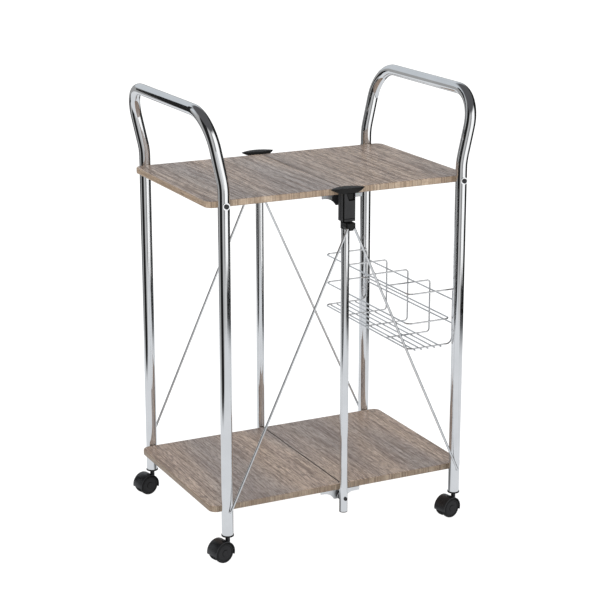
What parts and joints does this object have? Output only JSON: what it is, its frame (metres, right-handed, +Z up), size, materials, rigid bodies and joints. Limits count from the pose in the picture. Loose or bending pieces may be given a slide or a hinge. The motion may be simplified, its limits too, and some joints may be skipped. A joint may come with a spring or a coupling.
{
  "type": "folding kitchen trolley",
  "caption": "Folding kitchen trolley: chrome tube side frames with splayed handles, hinged wood-decor shelves, stay rods, a wire basket and twin-wheel castors.",
  "frame": {"origin": "on the floor under the middle of the trolley", "axes": "+X to the right side frame (the one with the basket), -Y to the front, +Z up"},
  "size_m": [0.576, 0.4271, 0.861],
  "materials": {
    "chrome": "polished chrome plating",
    "black_plastic": "satin moulded black",
    "dark_steel": "black oxide",
    "board": "grey-brown oak decor, fine grain",
    "bracket_steel": "zinc-plated sheet",
    "steel": "bright turned steel",
    "wheel": "matte black nylon"
  },
  "bodies": {
    "centre_frame": {"front_post": "chrome", "rear_post": "chrome", "front_latch_housing": "black_plastic", "rear_latch_housing": "black_plastic", "front_lift_grip": "black_plastic", "rear_lift_grip": "black_plastic", "upper_hinge_pins": "dark_steel", "lower_hinge_pins": "dark_steel", "hinge_sleeves": "black_plastic", "post_end_plugs": "black_plastic"},
    "upper_left_shelf": {"upper_left_board": "board", "upper_left_brackets": "bracket_steel", "upper_left_bracket_screws": "steel"},
    "upper_right_shelf": {"upper_right_board": "board", "upper_right_brackets": "bracket_steel", "upper_right_bracket_screws": "steel"},
    "lower_left_shelf": {"lower_left_board": "board", "lower_left_brackets": "bracket_steel", "lower_left_bracket_screws": "steel"},
    "lower_right_shelf": {"lower_right_board": "board", "lower_right_brackets": "bracket_steel", "lower_right_bracket_screws": "steel"},
    "left_frame": {"left_side_tube": "chrome", "left_pivot_bolts": "dark_steel", "left_pivot_rings": "chrome", "left_castor_sockets": "black_plastic"},
    "right_frame": {"right_side_tube": "chrome", "right_pivot_bolts": "dark_steel", "right_pivot_rings": "chrome", "right_castor_sockets": "black_plastic", "basket_rim": "chrome", "basket_base_frame": "chrome", "basket_hoops": "chrome", "basket_guard": "chrome", "basket_lengthwise_wires": "chrome"},
    "front_left_stay": {"front_left_rod": "chrome"},
    "front_right_stay": {"front_right_rod": "chrome"},
    "rear_left_stay": {"rear_left_rod": "chrome"},
    "rear_right_stay": {"rear_right_rod": "chrome"},
    "front_slide_block": {"front_slider": "black_plastic"},
    "front_latch_key": {"front_latch_button": "black_plastic"},
    "rear_slide_block": {"rear_slider": "black_plastic"},
    "rear_latch_key": {"rear_latch_button": "black_plastic"},
    "front_left_castor": {"front_left_castor_hood": "black_plastic", "front_left_castor_pins": "steel"},
    "front_left_roller_front": {"front_left_castor_front_wheel": "wheel"},
    "front_left_roller_rear": {"front_left_castor_rear_wheel": "wheel"},
    "front_right_castor": {"front_right_castor_hood": "black_plastic", "front_right_castor_pins": "steel"},
    "front_right_roller_front": {"front_right_castor_front_wheel": "wheel"},
    "front_right_roller_rear": {"front_right_castor_rear_wheel": "wheel"},
    "rear_left_castor": {"rear_left_castor_hood": "black_plastic", "rear_left_castor_pins": "steel"},
    "rear_left_roller_front": {"rear_left_castor_front_wheel": "wheel"},
    "rear_left_roller_rear": {"rear_left_castor_rear_wheel": "wheel"},
    "rear_right_castor": {"rear_right_castor_hood": "black_plastic", "rear_right_castor_pins": "steel"},
    "rear_right_roller_front": {"rear_right_castor_front_wheel": "wheel"},
    "rear_right_roller_rear": {"rear_right_castor_rear_wheel": "wheel"}
  },
  "joints": [
    {"name": "fold", "type": "hinge", "parent": "left_frame", "child": "upper_left_shelf", "pos_m": [-0.2475, 0, 0.6846], "axis": [0, -1, 0], "range_deg": [0, 80]},
    {"name": "centre_pivot", "type": "hinge", "parent": "upper_left_shelf", "child": "centre_frame", "pos_m": [0, 0, 0.6648], "axis": [0, 1, 0], "range_deg": [0, 80]},
    {"name": "upper_right_fold", "type": "hinge", "parent": "centre_frame", "child": "upper_right_shelf", "pos_m": [0, 0, 0.6648], "axis": [0, 1, 0], "range_deg": [0, 80]},
    {"name": "lower_left_fold", "type": "hinge", "parent": "centre_frame", "child": "lower_left_shelf", "pos_m": [0, 0, 0.0786], "axis": [0, -1, 0], "range_deg": [0, 80]},
    {"name": "lower_right_fold", "type": "hinge", "parent": "centre_frame", "child": "lower_right_shelf", "pos_m": [0, 0, 0.0786], "axis": [0, 1, 0], "range_deg": [0, 80]},
    {"name": "right_frame_pivot", "type": "hinge", "parent": "upper_right_shelf", "child": "right_frame", "pos_m": [0.2475, 0, 0.6846], "axis": [0, -1, 0], "range_deg": [0, 80]},
    {"name": "front_left_rod_swing", "type": "hinge", "parent": "left_frame", "child": "front_left_stay", "pos_m": [-0.2475, -0.1906, 0.0984], "axis": [0, -1, 0], "range_deg": [0, 19.22]},
    {"name": "front_right_rod_swing", "type": "hinge", "parent": "right_frame", "child": "front_right_stay", "pos_m": [0.2475, -0.1906, 0.0984], "axis": [0, 1, 0], "range_deg": [0, 19.22]},
    {"name": "rear_left_rod_swing", "type": "hinge", "parent": "left_frame", "child": "rear_left_stay", "pos_m": [-0.2475, 0.1906, 0.0984], "axis": [0, -1, 0], "range_deg": [0, 19.22]},
    {"name": "rear_right_rod_swing", "type": "hinge", "parent": "right_frame", "child": "rear_right_stay", "pos_m": [0.2475, 0.1906, 0.0984], "axis": [0, 1, 0], "range_deg": [0, 19.22]},
    {"name": "front_slide", "type": "slide", "parent": "centre_frame", "child": "front_slide_block", "axis": [0, 0, -1], "range_m": [0, 0.21011]},
    {"name": "front_latch_press", "type": "slide", "parent": "centre_frame", "child": "front_latch_key", "axis": [0, 1, 0], "range_m": [0, 0.002], "stiffness_N_per_m": 400},
    {"name": "rear_slide", "type": "slide", "parent": "centre_frame", "child": "rear_slide_block", "axis": [0, 0, -1], "range_m": [0, 0.21011]},
    {"name": "rear_latch_press", "type": "slide", "parent": "centre_frame", "child": "rear_latch_key", "axis": [0, -1, 0], "range_m": [0, 0.002], "stiffness_N_per_m": 400},
    {"name": "front_left_castor_swivel", "type": "hinge", "parent": "left_frame", "child": "front_left_castor", "pos_m": [-0.2475, -0.1906, 0.045], "axis": [0, 0, 1], "continuous": true},
    {"name": "front_left_castor_front_wheel_spin", "type": "hinge", "parent": "front_left_castor", "child": "front_left_roller_front", "pos_m": [-0.26332, -0.19454, 0.02], "axis": [-0.2419, 0.9703, 0], "continuous": true},
    {"name": "front_left_castor_rear_wheel_spin", "type": "hinge", "parent": "front_left_castor", "child": "front_left_roller_rear", "pos_m": [-0.26332, -0.19454, 0.02], "axis": [-0.2419, 0.9703, 0], "continuous": true},
    {"name": "front_right_castor_swivel", "type": "hinge", "parent": "right_frame", "child": "front_right_castor", "pos_m": [0.2475, -0.1906, 0.045], "axis": [0, 0, 1], "continuous": true},
    {"name": "front_right_castor_front_wheel_spin", "type": "hinge", "parent": "front_right_castor", "child": "front_right_roller_front", "pos_m": [0.23168, -0.19454, 0.02], "axis": [-0.2419, 0.9703, 0], "continuous": true},
    {"name": "front_right_castor_rear_wheel_spin", "type": "hinge", "parent": "front_right_castor", "child": "front_right_roller_rear", "pos_m": [0.23168, -0.19454, 0.02], "axis": [-0.2419, 0.9703, 0], "continuous": true},
    {"name": "rear_left_castor_swivel", "type": "hinge", "parent": "left_frame", "child": "rear_left_castor", "pos_m": [-0.2475, 0.1906, 0.045], "axis": [0, 0, 1], "continuous": true},
    {"name": "rear_left_castor_front_wheel_spin", "type": "hinge", "parent": "rear_left_castor", "child": "rear_left_roller_front", "pos_m": [-0.26332, 0.18666, 0.02], "axis": [-0.2419, 0.9703, 0], "continuous": true},
    {"name": "rear_left_castor_rear_wheel_spin", "type": "hinge", "parent": "rear_left_castor", "child": "rear_left_roller_rear", "pos_m": [-0.26332, 0.18666, 0.02], "axis": [-0.2419, 0.9703, 0], "continuous": true},
    {"name": "rear_right_castor_swivel", "type": "hinge", "parent": "right_frame", "child": "rear_right_castor", "pos_m": [0.2475, 0.1906, 0.045], "axis": [0, 0, 1], "continuous": true},
    {"name": "rear_right_castor_front_wheel_spin", "type": "hinge", "parent": "rear_right_castor", "child": "rear_right_roller_front", "pos_m": [0.23168, 0.18666, 0.02], "axis": [-0.2419, 0.9703, 0], "continuous": true},
    {"name": "rear_right_castor_rear_wheel_spin", "type": "hinge", "parent": "rear_right_castor", "child": "rear_right_roller_rear", "pos_m": [0.23168, 0.18666, 0.02], "axis": [-0.2419, 0.9703, 0], "continuous": true}
  ],
  "couplings": [
    {"joint": "centre_pivot", "follows": "fold", "ratio": 1},
    {"joint": "upper_right_fold", "follows": "fold", "ratio": 1},
    {"joint": "lower_left_fold", "follows": "fold", "ratio": 1},
    {"joint": "lower_right_fold", "follows": "fold", "ratio": 1},
    {"joint": "right_frame_pivot", "follows": "fold", "ratio": 1},
    {"joint": "front_left_rod_swing", "follows": "fold", "ratio": 0.24014},
    {"joint": "front_right_rod_swing", "follows": "fold", "ratio": 0.24014},
    {"joint": "rear_left_rod_swing", "follows": "fold", "ratio": 0.24014},
    {"joint": "rear_right_rod_swing", "follows": "fold", "ratio": 0.24014},
    {"joint": "front_slide", "follows": "fold", "m_per_rad": 0.15041},
    {"joint": "rear_slide", "follows": "fold", "m_per_rad": 0.15041}
  ]
}
